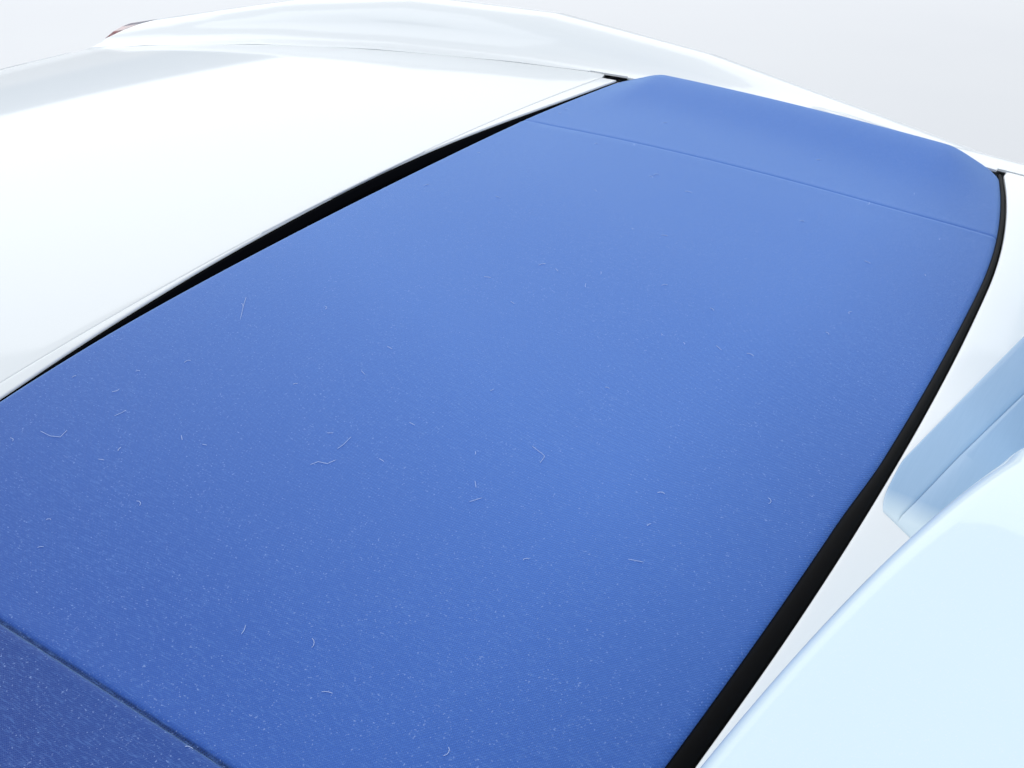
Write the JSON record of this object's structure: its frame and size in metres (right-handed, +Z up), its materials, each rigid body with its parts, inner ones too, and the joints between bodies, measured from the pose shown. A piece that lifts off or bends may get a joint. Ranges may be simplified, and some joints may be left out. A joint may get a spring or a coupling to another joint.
{
  "type": "roadster rear deck with stowed soft top",
  "caption": "Rear body section of an open two-seat car, with a folding cloth roof stowed flush behind the seats and an opening boot lid.",
  "frame": {"origin": "centre of the bolt face under the cross member, below the front edge of the stowed roof", "axes": "+X towards the front of the car, +Y to its left side, +Z up"},
  "size_m": [2.05, 1.7802, 0.6952],
  "materials": {
    "blue_cloth": "woven twill, lined",
    "white_paint": "gloss",
    "black_rubber": "satin",
    "red_lens": "gloss",
    "black_plastic": "grained",
    "dark_steel": "satin coat",
    "clear_glass": "clear",
    "satin_strip": "satin"
  },
  "bodies": {
    "deck": {"boot_gutter": "white_paint", "boot_seal": "black_rubber", "boot_tub": "dark_steel", "bulkhead": "dark_steel", "cabin_trim": "black_plastic", "centre_strip": "satin_strip", "cross_member": "dark_steel", "fairing_left": "white_paint", "fairing_right": "white_paint", "front_cowl": "white_paint", "lid_bracket_left": "dark_steel", "lid_bracket_right": "dark_steel", "rear_divider": "black_plastic", "rear_wing_left": "white_paint", "rear_wing_right": "white_paint", "roof_bearing_left": "dark_steel", "roof_bearing_right": "dark_steel", "roof_well": "dark_steel", "side_beam_left": "dark_steel", "side_beam_right": "dark_steel", "tail_lamps": "red_lens", "tail_panel": "white_paint", "wheel_housing_left": "black_plastic", "wheel_housing_right": "black_plastic", "wing_ribs_left": "dark_steel", "wing_ribs_right": "dark_steel"},
    "rear_section": {"rear_cloth": "blue_cloth", "rear_frame": "dark_steel", "rear_glass": "clear_glass", "rear_rail_left": "dark_steel", "rear_rail_right": "dark_steel"},
    "middle_section": {"middle_bows": "dark_steel", "middle_cloth": "blue_cloth", "middle_rail_left": "dark_steel", "middle_rail_right": "dark_steel"},
    "roof_panel": {"header_latch": "dark_steel", "header_seal": "black_rubber", "roof_cloth": "blue_cloth", "roof_frame": "dark_steel", "roof_rail_left": "dark_steel", "roof_rail_right": "dark_steel"},
    "boot_lid": {"lid_arm_left": "dark_steel", "lid_arm_right": "dark_steel", "lid_frame": "dark_steel", "lid_skin": "white_paint"}
  },
  "joints": [
    {"name": "rear_section_hinge", "type": "hinge", "parent": "deck", "child": "rear_section", "pos_m": [-0.62, 0, 0.45], "axis": [0, -1, 0], "range_deg": [0, 45]},
    {"name": "middle_section_hinge", "type": "hinge", "parent": "rear_section", "child": "middle_section", "pos_m": [-0.18, 0, 0.458], "axis": [0, -1, 0], "range_deg": [-217, 0]},
    {"name": "roof_panel_hinge", "type": "hinge", "parent": "middle_section", "child": "roof_panel", "pos_m": [-0.612, 0, 0.497], "axis": [0, -1, 0], "range_deg": [0, 169]},
    {"name": "boot_lid_hinge", "type": "hinge", "parent": "deck", "child": "boot_lid", "pos_m": [-0.612, 0, 0.515], "axis": [0, 1, 0], "range_deg": [0, 50]}
  ],
  "couplings": [
    {"joint": "middle_section_hinge", "follows": "rear_section_hinge", "ratio": -4.8222},
    {"joint": "roof_panel_hinge", "follows": "rear_section_hinge", "ratio": 3.7556}
  ]
}
